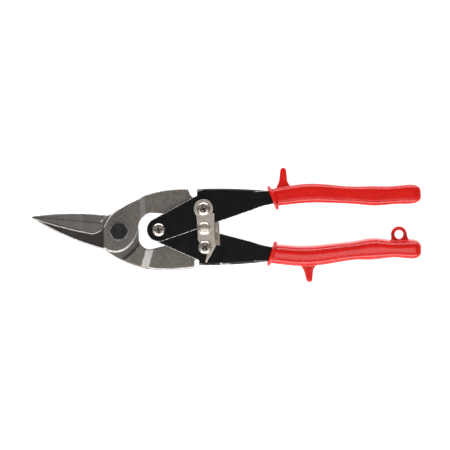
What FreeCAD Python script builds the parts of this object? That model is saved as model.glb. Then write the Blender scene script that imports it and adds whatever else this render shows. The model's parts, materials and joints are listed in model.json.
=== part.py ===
"""Compound-action aviation snips, closed and lying flat.

The tool is drawn around its main pivot: +X runs along the tool to the grips, +Y to the upper
handle, +Z up from the shear plane between the two blades.  Placements then move every piece so
that the origin is the middle of the underside.  Lengths are in millimetres.
"""
import FreeCAD, Part
import math
import os
import Sketcher

from FreeCAD import Placement, Rotation, Vector

# Driving dimensions: every name is one cell of the sheet.
SIZES = {
    # the linkage: main pivot at zero, centre pivot on the axis, two tang pivots
    "centre_x": 25.3, "tang_x": 54.4, "tang_y": 12.3,
    # levels above and below the shear plane
    "shear_gap": 0.05, "blade_face": 5.5, "tang_face": 3.7, "tang_back": 1.8, "knuckle_back": 3.2,
    "flange_face": 5.55, "flange_back": 3.65, "sheet": 1.7, "bend_radius": 1.6,
    "latch_back": 5.65, "latch_sheet": 1.4, "head_seat": 7.15, "rest_level": 9.6,
    # radii at the pivots
    "eye_radius": 8.0, "ear_radius": 7.6, "play": 0.05, "loop_play": 0.55,
    "pivot_shoulder": 4.0, "pivot_thread": 3.0, "shank": 2.5, "bush_wall": 1.0, "thread": 2.0,
    "centre_bush_wall": 1.1,
    # heads, nuts and washers
    "head_radius": 4.3, "head_height": 2.4, "head_round": 1.9, "recess_depth": 1.5, "recess_arm": 2.3,
    "recess_width": 0.95, "collar_radius": 3.4, "head_rim": 1.0, "head_flat": 2.2, "lead_in": 0.4,
    "nut_flats": 7.0, "nut_height": 3.1, "lock_radius": 3.7, "lock_height": 0.85, "lock_slit": 0.9,
    "pivot_flats": 10.0, "pivot_nut_height": 4.4, "pivot_washer_radius": 6.3,
    "pivot_washer_height": 0.9, "bolt_end": 0.5, "nut_play": 0.02,
    # return spring
    "wire": 1.0, "coil_radius": 4.7, "coil_angle": 320.0, "spring_level": 1.3,
    "spring_leg": 17.0,
    # blades: ramps beside the boss, jaw faces that slope to the tip and the cutting edge
    "boss_ramp_x": 17.0, "boss_ramp_run": 3.2, "knuckle_ramp_run": 5.6, "edge_chamfer": 1.0,
    "jaw_step_x": -10.0, "cut_reach": 9.0, "jaw_level": 4.4,
    "lower_jaw_y": -11.5, "lower_slope_x": -0.114, "lower_slope_y": -0.321,
    "upper_jaw_y": 11.0, "upper_slope_x": 0.039, "upper_slope_y": 0.16,
    "ridge_x": -14.3, "ridge_y": 5.8, "ridge_slope_x": -0.05, "ridge_slope_y": -0.356,
    # latch
    "latch_eye": 6.2, "slot_half": 2.8, "slot_blind": 1.9, "dimple_radius": 3.6, "dimple_height": 1.1,
    "dimple_x": 54.5, "dimple_y": -0.1, "tab_low_y": -11.2, "tab_high_y": 3.6,
    # grips
    "collar_half_height": 8.1, "collar_half_width": 9.6, "collar_thickness": 1.7,
    "upper_corner": 0.55, "lower_corner": 0.7, "collar_corner": 0.78, "lower_roll": 8.0,
    "grip_lean": 20.0, "grip_end_x": 193.8, "spur_half_width": 4.6, "spur_tip_radius": 1.6,
    "upper_spur_top": 36.6, "lower_spur_top": -37.2,
    "ring_x": 179.1, "ring_y": -8.9, "ring_hole": 3.05, "ring_outer": 4.95, "ring_half_width": 1.9,
    "jaw_tip_x": -56.6,
}

# Outlines, counter-clockwise.  Each row is a corner: x, y and the radius of the edge that leaves
# it, positive where that edge bulges outwards, negative where it hollows, zero where it is
# straight.  Every number becomes a cell named after the outline and the corner.
OUTLINES = {
    # front blade: lower jaw, pivot boss, crown over the throat, tang of the upper handle
    "front_blade": (
        ("tang_lower", 50.0, 5.1, 0), ("eye_lower", 54.4, 4.4, 0), ("eye_upper", 54.4, 20.2, 0),
        ("notch", 47.4, 20.2, 0), ("shoulder", 45.9, 22.2, 0), ("crown_end", 45.0, 25.2, 74.6),
        ("brow", -2.4, 13.1, 21.8), ("heel_top", -8.5, 5.6, -10.9),
        ("heel", -17.5, -0.7, -232), ("tip_top", -56.6, 11.4, 0), ("tip", -56.4, 10.7, 163),
        ("belly_end", -9.1, -12.0, 13.2), ("boss_lower", 6.4, -10.0, 23.3),
        ("mouth_lower", 12.2, -0.9, -10.3), ("mouth_upper", 20.0, 11.0, 0),
        ("throat", 33.0, 9.9, 0)),
    # rear blade: upper jaw, pivot boss, arm under the throat, tang of the lower handle
    "rear_blade": (
        ("mouth_lower", 19.1, -12.4, -7.8), ("mouth_upper", 12.1, -6.1, 0),
        ("boss_side", 12.2, 0.9, 23.3), ("boss_upper", 6.4, 10.0, 13.2),
        ("jaw_top", -7.0, 10.4, 180), ("tip_top", -56.6, 11.6, 0), ("tip", -56.4, 10.6, 250),
        ("edge_end", -16.0, -3.2, -30), ("boss_lower", -10.0, -11.6, 62.8),
        ("arm_low", 31.4, -26.4, 142), ("arm_end", 46.2, -25.8, 1.2),
        ("shoulder", 47.2, -24.4, 0), ("notch", 47.4, -20.2, 0), ("eye_lower", 54.4, -20.2, 0),
        ("eye_upper", 54.4, -4.4, 0), ("tang_upper", 50.0, -5.1, 0), ("throat", 29.5, -10.3, 0)),
    # handles: ear at the centre pivot, side flange, and the channel that runs into the grip
    "upper_handle": (
        ("ear_lower", 27.55, -7.3, 0), ("edge_bend", 85.0, 10.1, -60), ("neck_lower", 104.0, 14.1, 0),
        ("hump_lower", 116.0, 15.9, 120), ("waist_lower", 134.0, 15.5, -120),
        ("run_lower", 158.0, 12.9, 0), ("end_lower", 185.0, 12.9, 3.7), ("end_upper", 185.0, 20.1, 0),
        ("run_upper", 158.0, 20.2, 120), ("waist_upper", 134.0, 22.9, -40),
        ("hump_upper", 112.0, 22.8, 0), ("web_end", 97.0, 22.2, 360), ("web_corner", 51.1, 25.2, 0),
        ("web_front", 50.6, 24.7, 0), ("flange_front", 50.6, 21.0, 0), ("ear_upper", 21.9, 6.8, 0)),
    "lower_handle": (
        ("ear_lower", 21.9, -6.8, 0), ("flange_front", 50.2, -20.7, 0), ("web_front", 50.2, -23.4, 0),
        ("web_corner", 50.7, -23.9, 360), ("web_end", 97.0, -22.9, 0),
        ("hump_lower", 112.0, -23.9, 40), ("waist_lower", 134.0, -23.2, -120),
        ("run_lower", 158.0, -21.0, 0), ("end_lower", 184.0, -21.7, 3.7), ("end_upper", 184.0, -14.5, 0),
        ("run_upper", 158.0, -13.8, -120), ("waist_upper", 134.0, -16.3, 120),
        ("hump_upper", 114.0, -16.6, 0), ("neck_upper", 104.0, -14.6, -60), ("edge_bend", 85.0, -10.1, 0),
        ("ear_upper", 27.55, 7.3, 0)),
    # raised knuckles between pivot and tang; the ramp down to the tang is at their far side
    "front_knuckle": (
        ("step_end", 13.3, 6.0, -10.3), ("mouth", 20.0, 11.0, 0), ("ramp_in", 22.0, 10.83, 0),
        ("ramp_out", 17.8, 22.41, 74.6), ("step_out", 3.0, 16.3, -40)),
    "rear_knuckle": (
        ("step_end", 12.68, -8.0, -40), ("step_out", 0.6, -18.6, 62.8),
        ("ramp_out", 17.8, -25.02, 0), ("ramp_in", 22.0, -11.81, 0), ("mouth", 19.1, -12.4, -7.8)),
    # latch plate, its thumb tab seen from the end, and the way the hooked screw passes
    "latch": (
        ("left_top", 49.6, 8.4, 0), ("left_waist", 50.2, -1.1, 0), ("left_low", 50.2, -5.8, 3.0),
        ("hook_mouth", 51.9, -9.5, 0), ("hook_lower", 51.9, -14.6, 0), ("lip", 56.0, -14.6, 0),
        ("lip_end", 54.2, -21.9, 1.4), ("point", 56.0, -20.6, 0), ("slant", 58.3, -17.3, 0),
        ("right_low", 61.2, -12.0, 0), ("right_top", 61.2, 9.3, 0)),
    "latch_tab": (
        ("root", 60.3, 5.65, 0), ("heel", 61.6, 5.65, 0), ("tip_outer", 64.3, 10.2, 0),
        ("tip_inner", 63.1, 10.9, 0), ("bend", 60.9, 7.05, 0), ("root_top", 60.3, 7.05, 0)),
    # finger guards that stand out from the grips
    "upper_spur": (
        ("root_back", 112.0, 22.0, 0), ("back", 108.6, 27.6, 0), ("tip_back", 108.1, 34.9, 1.7),
        ("tip_front", 104.7, 34.9, 0), ("front", 103.6, 27.6, 0), ("root_front", 100.4, 21.5, 0)),
    "lower_spur": (
        ("root_front", 114.6, -24.5, 0), ("front", 117.4, -29.6, 0), ("tip_front", 118.7, -35.4, 1.8),
        ("tip_back", 122.3, -35.4, 0), ("back", 122.9, -29.6, 0), ("root_back", 126.2, -24.5, 0)),
    "ring_foot": (
        ("left", 173.6, -13.5, 0), ("right", 186.4, -13.8, -9), ("high_right", 183.6, -8.0, 0),
        ("high_left", 174.6, -8.0, -14)),
}

# Grip sections from front to back: x, centre height, half height, half width.
GRIP_SECTIONS = {
    "upper_grip": (
        ("front", 100.0, 17.9, 5.5, 6.9), ("rise", 110.0, 18.9, 5.75, 7.1),
        ("hump", 122.0, 19.7, 5.95, 7.15), ("fall", 138.0, 18.6, 5.6, 7.0),
        ("waist", 155.0, 17.0, 5.6, 7.0), ("heel", 172.0, 16.3, 5.75, 7.1),
        ("swell", 186.0, 16.6, 6.0, 7.2), ("round", 191.2, 16.6, 5.3, 6.5),
        ("end", 193.8, 16.6, 3.2, 4.4)),
    "lower_grip": (
        ("front", 98.0, -18.4, 5.6, 6.9), ("rise", 108.0, -19.6, 5.9, 7.1),
        ("hump", 120.0, -20.5, 5.9, 7.15), ("fall", 136.0, -19.5, 5.7, 7.0),
        ("waist", 153.0, -18.0, 5.6, 7.0), ("heel", 170.0, -17.7, 5.5, 7.1),
        ("swell", 185.0, -18.5, 5.6, 7.2), ("round", 190.0, -18.6, 5.3, 6.5),
        ("end", 192.6, -18.6, 3.2, 4.4)),
}

# further than any piece reaches from its own origin, for cuts that go right through or right past
FAR = 80.0
# the jaw side of a sloped cut, drawn from its step
JAW_SIDE = ((0, -FAR / 2, 0), (FAR, -FAR / 2, 0), (FAR, FAR / 2, 0), (0, FAR / 2, 0))

PARTS = []          # every sub-part of the tool, in the order they are made


class Dim:
    """A length that carries its value and the sheet expression it comes from."""

    def __init__(self, value, text):
        self.value, self.text = float(value), text

    def join(self, other, sign, value):
        text = other.text if isinstance(other, Dim) else "(%.6g)" % other
        return Dim(value, "(%s %s %s)" % (self.text, sign, text))

    def __add__(self, other):
        return self.join(other, "+", self.value + number(other))

    def __sub__(self, other):
        return self.join(other, "-", self.value - number(other))

    def __mul__(self, other):
        return self.join(other, "*", self.value * number(other))

    def __neg__(self):
        return Dim(-self.value, "(-%s)" % self.text)


def number(length):
    return length.value if isinstance(length, Dim) else float(length)


def bind(thing, prop, length):
    """Set a property and, where the length comes from the sheet, tie it to its cells."""
    if isinstance(length, Dim):
        thing.setExpression(prop, length.text)
    elif "." in prop:
        thing.setExpression(prop, "%.6g" % length)
    else:
        setattr(thing, prop, length)


doc = FreeCAD.newDocument("aviation_snips")
sheet = doc.addObject("Spreadsheet::Sheet", "Sizes")


def fill_sheet():
    cells = dict(SIZES)
    for outline, rows in OUTLINES.items():
        for corner, x, y, radius in rows:
            cells["%s_%s_x" % (outline, corner)] = x
            cells["%s_%s_y" % (outline, corner)] = y
            if radius:
                cells["%s_%s_r" % (outline, corner)] = radius
    for grip, rows in GRIP_SECTIONS.items():
        for name, *values in rows:
            for word, value in zip(("x", "y", "tall", "wide"), values):
                cells["%s_%s_%s" % (grip, name, word)] = value
    for line, (alias, value) in enumerate(cells.items(), start=1):
        sheet.set("A%d" % line, alias)
        sheet.set("B%d" % line, "%.6g" % value)
        sheet.setAlias("B%d" % line, alias)
    return {alias: Dim(value, "Sizes." + alias) for alias, value in cells.items()}


cell = fill_sheet()
doc.recompute()

# the row's origin, seen from the main pivot: the middle of the tool's box
frame_x = (cell["jaw_tip_x"] + cell["grip_end_x"]) * 0.5
frame_y = (cell["upper_spur_top"] + cell["lower_spur_top"]) * 0.5


def corners(outline):
    """The rows of an outline with their sheet cells."""
    rows = []
    for corner, _x, _y, radius in OUTLINES[outline]:
        stem = "%s_%s" % (outline, corner)
        rows.append((cell[stem + "_x"], cell[stem + "_y"], cell[stem + "_r"] if radius else 0))
    return rows


def new_part(name, x=0, y=0, turn=0, flip=False):
    """A body whose own origin stands at (x, y) of the tool, turned about +Z, perhaps upside down."""
    body = doc.addObject("PartDesign::Body", name)
    body.Label = name
    rotation = Rotation(Vector(0, 0, 1), turn)
    if flip:
        rotation = rotation * Rotation(Vector(1, 0, 0), 180)
    body.Placement = Placement(Vector(), rotation)
    bind(body, "Placement.Base.x", -(frame_x - x))
    bind(body, "Placement.Base.y", -(frame_y - y))
    bind(body, "Placement.Base.z", cell["rest_level"])
    PARTS.append(body)
    return body


def new_sketch(body, plane="XY_Plane", lift=0, rotation=None, at=(0, 0)):
    sketch = body.newObject("Sketcher::SketchObject", body.Name + "_sketch")
    support = [item for item in body.Origin.OriginFeatures if item.Role == plane][0]
    sketch.AttachmentSupport = [(support, "")]
    sketch.MapMode = "FlatFace"
    sketch.AttachmentOffset = Placement(Vector(), rotation or Rotation())
    bind(sketch, "AttachmentOffset.Base.x", at[0])
    bind(sketch, "AttachmentOffset.Base.y", at[1])
    bind(sketch, "AttachmentOffset.Base.z", lift)
    return sketch


def fix(sketch, kind, *where, length):
    """One dimensional constraint, tied to the sheet where its length comes from there."""
    index = sketch.addConstraint(Sketcher.Constraint(kind, *where, number(length)))
    if isinstance(length, Dim):
        sketch.setExpression("Constraints[%d]" % index, length.text)


def arc_between(start, end, radius):
    """The short arc from start to end; a positive radius bulges to the right of the way there."""
    chord = end - start
    middle = (start + end) * 0.5
    right = Vector(chord.y, -chord.x, 0).normalize()
    height = math.sqrt(max(radius * radius - chord.Length ** 2 / 4, 0))
    side = 1 if radius > 0 else -1
    centre = middle - right * side * height
    crest = centre + right * side * abs(radius)
    return Part.Arc(start, crest, end)


def draw(sketch, rows):
    """A closed outline from rows of x, y and the radius of the edge that follows."""
    points = [Vector(number(x), number(y), 0) for x, y, _ in rows]
    radii = [number(radius) for _, _, radius in rows]
    first = sketch.GeometryCount
    for index, start in enumerate(points):
        end = points[(index + 1) % len(points)]
        if radii[index]:
            sketch.addGeometry(arc_between(start, end, radii[index]))
        else:
            sketch.addGeometry(Part.LineSegment(start, end))
    # an arc is stored counter-clockwise, so one that hollows starts at its far corner
    starts = [2 if radius < 0 else 1 for radius in radii]
    for index, (x, y, radius) in enumerate(rows):
        edge = first + index
        following = first + (index + 1) % len(rows)
        following_start = starts[(index + 1) % len(rows)]
        sketch.addConstraint(Sketcher.Constraint("Coincident", edge, 3 - starts[index],
                                                 following, following_start))
        fix(sketch, "DistanceX", -1, 1, edge, starts[index], length=x)
        fix(sketch, "DistanceY", -1, 1, edge, starts[index], length=y)
        if radii[index] > 0:
            fix(sketch, "Radius", edge, length=radius)
        elif radii[index] < 0:
            fix(sketch, "Radius", edge, length=-radius if isinstance(radius, Dim) else abs(radius))


def draw_circle(sketch, x, y, radius):
    centre = Vector(number(x), number(y), 0)
    edge = sketch.addGeometry(Part.Circle(centre, Vector(0, 0, 1), number(radius)))
    fix(sketch, "DistanceX", -1, 1, edge, 3, length=x)
    fix(sketch, "DistanceY", -1, 1, edge, 3, length=y)
    fix(sketch, "Radius", edge, length=radius)


def polygon(body, rows, **where):
    sketch = new_sketch(body, **where)
    draw(sketch, rows)
    return sketch


def circle(body, radius, x=0, y=0, **where):
    sketch = new_sketch(body, **where)
    draw_circle(sketch, x, y, radius)
    return sketch


def feature(body, kind, sketch, **settings):
    """A sketch-based feature; its lengths may come from the sheet."""
    made = body.newObject("PartDesign::" + kind, body.Name + "_" + kind.lower())
    made.Profile = sketch
    for prop, value in settings.items():
        bind(made, prop, value)
    return made


def pad(body, sketch, length, down=False):
    return feature(body, "Pad", sketch, Length=length, Reversed=down)


def pocket(body, sketch, length, up=False):
    """Cut below the sketch, or above it; a cut that removes nothing is an error."""
    before = solid_volume(body)
    made = feature(body, "Pocket", sketch, Length=length, Reversed=up)
    check_cut(body, made, before)
    return made


def solid_volume(body):
    doc.recompute()
    return body.Tip.Shape.Volume


def check_cut(body, made, before):
    doc.recompute()
    if not made.Shape.Volume < before - 1e-6:
        raise RuntimeError("%s: %s cuts nothing" % (body.Name, made.Name))


def turned(body, rows, cut=False):
    """A full turn about the body's own Z axis; rows give radius and level."""
    before = solid_volume(body) if cut else 0
    sketch = polygon(body, rows, plane="XZ_Plane")
    made = feature(body, "Groove" if cut else "Revolution", sketch, Angle=360.0)
    made.ReferenceAxis = (sketch, ["V_Axis"])
    if cut:
        check_cut(body, made, before)
    return made


def dress(body, kind, test, **settings):
    """Fillet or chamfer every edge that passes the test."""
    doc.recompute()
    base = body.Tip
    names = ["Edge%d" % index for index, edge in enumerate(base.Shape.Edges, start=1) if test(edge)]
    if not names:
        raise RuntimeError("%s: no edge for the %s" % (body.Name, kind))
    made = body.newObject("PartDesign::" + kind, body.Name + "_" + kind.lower())
    made.Base = (base, names)
    for prop, value in settings.items():
        bind(made, prop, value)
    doc.recompute()
    return made


def level_edge(z):
    """A test for edges that lie flat at one level."""
    return lambda edge: all(abs(point.z - z) < 0.01 for point in ends_and_middle(edge))


def ends_and_middle(edge):
    low, high = edge.ParameterRange
    return [edge.valueAt(low), edge.valueAt((low + high) / 2), edge.valueAt(high)]


def middle(edge):
    return ends_and_middle(edge)[1]


def mirrored(length, side):
    return length if side > 0 else -length


# ------------------------------------------------------------------ blades

def ramp(body, rows, run, low, high, side):
    """Slope a step: rows are the two ends of its foot, run is how far back its top is cut."""
    (x1, y1), (x2, y2) = rows
    across = Vector(number(x2) - number(x1), number(y2) - number(y1), 0)
    # local x looks away from the tang, along the slope; local y is the tool's +Z
    uphill = Vector(-abs(across.y), across.x if across.y > 0 else -across.x, 0).normalize()
    normal = uphill.cross(Vector(0, 0, 1))
    foot_middle = (number(x1) + number(x2)) / 2, (number(y1) + number(y2)) / 2
    sketch = new_sketch(body, rotation=Rotation(uphill, Vector(0, 0, 1), normal, "ZXY"), at=foot_middle)
    foot, top = mirrored(low, side), mirrored(high + 0.5, side)
    draw(sketch, [(-0.5, foot, 0), (-0.5, top, 0), (run + run * 0.28, top, 0), (run * 0.01, foot, 0)])
    before = solid_volume(body)
    made = feature(body, "Pocket", sketch, Length=FAR + 20)
    made.SideType = "Symmetric"
    check_cut(body, made, before)


def slope_cut(body, at, level, slopes, rows, side):
    """Plane off a jaw face that falls by the two slopes from its level at one point."""
    slope_x, slope_y = number(slopes[0]) * side, number(slopes[1]) * side
    normal = Vector(-slope_x, -slope_y, 1).normalize()
    along = Vector(-1, 0, -slope_x).normalize()
    across = normal.cross(along)
    sketch = new_sketch(body, rotation=Rotation(along, across, normal, "ZXY"),
                        at=at, lift=mirrored(level, side))
    draw(sketch, rows)
    pocket(body, sketch, cell["cut_reach"], up=side > 0)


def blade(name, side):
    """A forged blade: jaw and boss on its own side of the shear plane, tang across it.

    side is +1 for the front blade and -1 for the rear one, whose arm is the same turned over.
    """
    body = new_part(name)
    over = side < 0
    gap = mirrored(cell["shear_gap"], side)
    knuckle_name = "front_knuckle" if side > 0 else "rear_knuckle"
    knuckle = dict(zip([row[0] for row in OUTLINES[knuckle_name]], corners(knuckle_name)))
    outline = dict(zip([row[0] for row in OUTLINES[name]], corners(name)))
    pad(body, polygon(body, corners(name), lift=gap), cell["blade_face"] - cell["shear_gap"], down=over)
    # the tang reaches across the shear plane, and the knuckle beside the boss a little further
    if side > 0:
        order = ("tang_lower", "eye_lower", "eye_upper", "notch", "shoulder", "crown_end")
        tang = [outline[word] for word in order] + [knuckle["ramp_out"][:2] + (0,), knuckle["ramp_in"],
                                                    outline["throat"]]
    else:
        order = ("arm_low", "arm_end", "shoulder", "notch", "eye_lower", "eye_upper", "tang_upper",
                 "throat")
        tang = [knuckle["ramp_out"][:2] + (outline["boss_lower"][2],)]
        tang += [outline[word] for word in order] + [knuckle["ramp_in"][:2] + (0,)]
    pad(body, polygon(body, tang, lift=gap), cell["tang_back"] + cell["shear_gap"], down=not over)
    pad(body, polygon(body, corners(knuckle_name), lift=gap),
        cell["knuckle_back"] + cell["shear_gap"], down=not over)
    foot = (knuckle["ramp_out"][:2], knuckle["ramp_in"][:2])
    ramp(body, foot, cell["knuckle_ramp_run"], cell["tang_back"], cell["knuckle_back"], -side)
    # the eye round the tang's pivot
    eye = circle(body, cell["eye_radius"], cell["tang_x"], mirrored(cell["tang_y"], side),
                 lift=mirrored(cell["tang_face"], side))
    pad(body, eye, cell["tang_face"] + cell["tang_back"], down=not over)
    # the outer face steps down to the tang, by a short ramp
    step = cell["boss_ramp_x"]
    lowered = [(step, -FAR / 2, 0), (FAR, -FAR / 2, 0), (FAR, FAR / 2, 0), (step, FAR / 2, 0)]
    pocket(body, polygon(body, lowered, lift=mirrored(cell["tang_face"], side)), cell["cut_reach"],
           up=not over)
    ramp(body, ((step, -FAR / 2), (step, FAR / 2)), cell["boss_ramp_run"], cell["tang_face"],
         cell["blade_face"], side)
    return body


def drill(body, radius, x=0, y=0):
    """A round hole right through."""
    pocket(body, circle(body, radius, x, y, lift=-FAR / 2), FAR, up=True)


def front_blade():
    body = blade("front_blade", 1)
    slope_cut(body, (cell["jaw_step_x"], cell["lower_jaw_y"]), cell["jaw_level"],
              (cell["lower_slope_x"], cell["lower_slope_y"]), JAW_SIDE, 1)
    drill(body, cell["pivot_shoulder"] + cell["play"])
    drill(body, cell["shank"] + cell["bush_wall"] + cell["play"], cell["tang_x"], cell["tang_y"])
    face = number(cell["blade_face"])
    dress(body, "Chamfer", lambda edge: level_edge(face)(edge) and crown_edge(middle(edge)),
          Size=cell["edge_chamfer"])
    return body


def crown_edge(point):
    """True on the brow and the crown, between the cutting edge and the ramp."""
    return point.y > 4 and point.x < 13 and math.hypot(point.x, point.y) > 8


def rear_blade():
    body = blade("rear_blade", -1)
    slope_cut(body, (cell["jaw_step_x"], cell["upper_jaw_y"]), cell["jaw_level"],
              (cell["upper_slope_x"], cell["upper_slope_y"]), JAW_SIDE, -1)
    # the bevel lies behind the ridge: local x runs to the tip and local y to the cutting edge
    bevel = [(60, 2, 0), (0, 2, 0), (-9, -6, 0), (-9, -20, 0), (60, -20, 0)]
    slope_cut(body, (cell["ridge_x"], cell["ridge_y"]), -cell["shear_gap"],
              (cell["ridge_slope_x"], cell["ridge_slope_y"]), bevel, 1)
    drill(body, cell["pivot_shoulder"] + cell["nut_play"])
    drill(body, cell["shank"] + cell["bush_wall"] + cell["play"], cell["tang_x"], -cell["tang_y"])
    top = number(cell["knuckle_back"])
    dress(body, "Chamfer", lambda edge: level_edge(top)(edge) and middle(edge).y < -13 and
          middle(edge).x < 10, Size=cell["edge_chamfer"] * 0.8)
    return body


# ------------------------------------------------------------------ handles and grips

def handle(name, side):
    """A pressed channel: an ear on each side of the tang, joined by the web along its back.

    The upper handle (side +1) sits one sheet further forward than the lower one, so that the
    ears nest at the centre pivot.
    """
    body = new_part(name)
    front = cell["flange_face"] if side > 0 else cell["flange_back"]
    back = -cell["flange_back"] if side > 0 else -cell["flange_face"]
    pad(body, polygon(body, corners(name), lift=back), front - back)
    ear = circle(body, cell["ear_radius"], cell["centre_x"], lift=back)
    pad(body, ear, front - back)
    # the web bends round into both flanges
    dress(body, "Fillet", lambda edge: along_web(edge, side), Radius=cell["bend_radius"])
    # hollow the channel from its open side, leaving the web and the closed end
    rows = dict(zip([row[0] for row in OUTLINES[name]], corners(name)))
    sheet_y = mirrored(cell["sheet"], side)
    inner = [(rows["web_corner"][0] - 6, rows["web_corner"][1] - sheet_y, 0),
             (rows["web_corner"][0], rows["web_corner"][1] - sheet_y, 0),
             (rows["web_end"][0], rows["web_end"][1] - sheet_y, 0),
             (rows["web_end"][0] + 6, -FAR / 2 * side, 0), (-20, -FAR / 2 * side, 0),
             (-20, rows["web_corner"][1] - sheet_y, 0)]
    pocket(body, polygon(body, inner, lift=back + cell["sheet"]), front - back - cell["sheet"] * 2, up=True)
    # the tail inside the grip is hollow too, open on the inner side
    if side > 0:
        top = ("run_upper", "waist_upper", "hump_upper")
    else:
        top = ("run_lower", "waist_lower", "hump_lower")
    tail = [(rows[word][0], rows[word][1] - sheet_y, 0) for word in top]
    tail = [(rows["end_upper"][0] - 2, tail[0][1], 0)] + tail
    tail += [(tail[-1][0], 0, 0), (tail[0][0], 0, 0)]
    pocket(body, polygon(body, tail, lift=back + cell["sheet"]), front - back - cell["sheet"] * 2, up=True)
    drill(body, cell["shank"] + (cell["play"] if side > 0 else cell["loop_play"]), cell["centre_x"])
    drill(body, cell["shank"] + cell["play"], cell["tang_x"], mirrored(cell["tang_y"], side))
    # a blind hole in one inner face holds the tip of the return spring
    inner_face = cell["flange_back"] - cell["sheet"]
    tip_x = cell["centre_x"] + cell["spring_leg"] - cell["wire"] * 0.5
    hole = circle(body, cell["wire"] * 0.5 + cell["play"], tip_x,
                  mirrored(cell["coil_radius"], side), lift=mirrored(-inner_face, side))
    pocket(body, hole, cell["sheet"] * 0.6, up=side < 0)
    return body


def along_web(edge, side):
    """True on the two long edges of the web, between its corner and the grip."""
    first, point, last = ends_and_middle(edge)
    return abs(first.z - last.z) < 0.01 and 52 < point.x < 98 and point.y * side > 20.9


def grip_section(body, place, tall, wide, corner_share, lean=0, roll=0):
    """A rounded oblong across the grip at (x, y), tall along Y and wide along Z.

    It leans along the grip and is rolled round it by the given degrees.
    """
    x, y = place
    corner = tall * corner_share
    sketch = new_sketch(body, plane="YZ_Plane", at=(y, 0), lift=x,
                        rotation=Rotation(Vector(0, 1, 0), lean) * Rotation(Vector(0, 0, 1), roll))
    draw(sketch, [(tall, wide - corner, corner), (tall - corner, wide, 0),
                  (-(tall - corner), wide, corner), (-tall, wide - corner, 0),
                  (-tall, -(wide - corner), corner), (-(tall - corner), -wide, 0),
                  (tall - corner, -wide, corner), (tall, -(wide - corner), 0)])
    return sketch


def grip(name, side):
    """A thick dipped sleeve over the channel, with a flared collar and a finger guard."""
    body = new_part(name)
    front_lean = SIZES["grip_lean"] * side
    share, roll = (cell["upper_corner"], 0) if side > 0 else (cell["lower_corner"], SIZES["lower_roll"])
    sections = []
    for row in GRIP_SECTIONS[name]:
        x, y, tall, wide = [cell["%s_%s_%s" % (name, row[0], word)] for word in ("x", "y", "tall", "wide")]
        sections.append(grip_section(body, (x, y), tall, wide, share, 0 if sections else front_lean, roll))
        if len(sections) == 1:
            collar_place = x, y
    loft = body.newObject("PartDesign::AdditiveLoft", name + "_sleeve")
    loft.Profile = sections[0]
    loft.Sections = sections[1:]
    collar = grip_section(body, collar_place, cell["collar_half_height"], cell["collar_half_width"],
                          cell["collar_corner"], front_lean)
    pad(body, collar, cell["collar_thickness"], down=True)
    spur = polygon(body, corners(name.replace("grip", "spur")), lift=-cell["spur_half_width"])
    pad(body, spur, cell["spur_half_width"] * 2)
    if side < 0:
        pad(body, polygon(body, corners("ring_foot"), lift=-cell["ring_half_width"]),
            cell["ring_half_width"] * 2)
        ring = circle(body, cell["ring_outer"], cell["ring_x"], cell["ring_y"], lift=-cell["ring_half_width"])
        pad(body, ring, cell["ring_half_width"] * 2)
        drill(body, cell["ring_hole"], cell["ring_x"], cell["ring_y"])
    # the channel fills the sleeve
    front = cell["flange_face"] if side > 0 else cell["flange_back"]
    back = -cell["flange_back"] if side > 0 else -cell["flange_face"]
    pocket(body, polygon(body, corners(name.replace("grip", "handle")), lift=back), front - back, up=True)
    return body


# ------------------------------------------------------------------ pivots and fasteners

def screw(name, x, y, seat, shoulder_end, thread_end, turn=0, collar=None):
    """A shoulder screw with a domed head and a cross recess; collar is a wider seat below the head."""
    body = new_part(name, x, y, turn)
    head, shank, thread = cell["head_radius"], cell["shank"], cell["thread"]
    top = seat + cell["head_height"]
    lead = cell["lead_in"]
    rows = [(0, thread_end, 0), (thread - lead, thread_end, 0), (thread, thread_end + lead, 0),
            (thread, shoulder_end, 0), (shank, shoulder_end, 0)]
    if collar:
        wide = cell["collar_radius"]
        rows += [(shank, collar[0], 0), (wide, collar[0], 0), (wide, collar[1], 0), (shank, collar[1], 0)]
    rows += [(shank, seat, 0), (head, seat, 0), (head, seat + cell["head_rim"], cell["head_round"]),
             (cell["head_flat"], top, 0), (0, top, 0)]
    turned(body, rows)
    arm, width = cell["recess_arm"], cell["recess_width"] * 0.5
    cross = [(arm, -width, 0), (arm, width, 0), (width, width, 0), (width, arm, 0), (-width, arm, 0),
             (-width, width, 0), (-arm, width, 0), (-arm, -width, 0), (-width, -width, 0),
             (-width, -arm, 0), (width, -arm, 0), (width, -width, 0)]
    pocket(body, polygon(body, cross, lift=top), cell["recess_depth"])
    return body


def hexagon(body, flats, low, height):
    """A hexagonal prism with the corners of both ends turned off at thirty degrees."""
    rim = flats * (1 / math.sqrt(3))
    turns = [math.radians(60 * step) for step in range(6)]
    rows = [(rim * round(math.cos(turn), 9), rim * round(math.sin(turn), 9), 0) for turn in turns]
    pad(body, polygon(body, rows, lift=low), height)
    for level, inward in ((low + height, -1), (low, 1)):
        far = flats * 0.64
        turned(body, [(flats * 0.49, level, 0), (far, level, 0), (far, level + flats * (0.087 * inward), 0)],
               cut=True)


def hex_nut(name, x, y, flats, low, height, bore, turn=0):
    body = new_part(name, x, y, turn)
    hexagon(body, flats, low, height)
    drill(body, bore + cell["nut_play"])
    return body


def ring(name, x, y, inner, outer, low, height, turn=0):
    """A plain washer, bush or spacer."""
    body = new_part(name, x, y, turn)
    sketch = new_sketch(body, lift=low)
    draw_circle(sketch, 0, 0, outer)
    draw_circle(sketch, 0, 0, inner)
    pad(body, sketch, height)
    return body


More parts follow.
